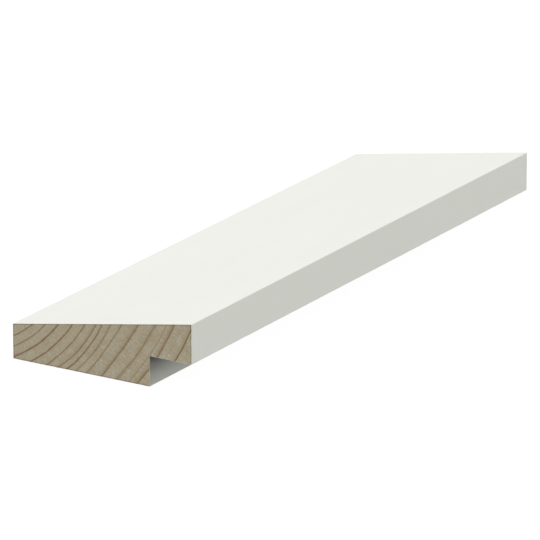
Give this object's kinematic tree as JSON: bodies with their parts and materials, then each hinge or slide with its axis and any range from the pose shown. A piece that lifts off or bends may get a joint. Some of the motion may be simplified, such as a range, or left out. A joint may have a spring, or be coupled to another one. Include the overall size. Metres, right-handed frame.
{
  "type": "panel moulding",
  "caption": "Bevelled softwood moulding painted white, with square-cut bare ends, a flat back and a rebate under its thick edge that laps over a wall panel.",
  "frame": {"origin": "middle of the bounding box's underside: on the plane of the flat back, midway across the overall width and midway along the length", "axes": "+X from the thin edge to the thick, rebated edge, +Y along the length, +Z out of the back towards the bevelled face"},
  "size_m": [0.043, 0.135, 0.015],
  "materials": {
    "white_paint": "satin",
    "bare_pine": "matte"
  },
  "bodies": {
    "root": {"moulding": "white_paint"}
  },
  "joints": []
}
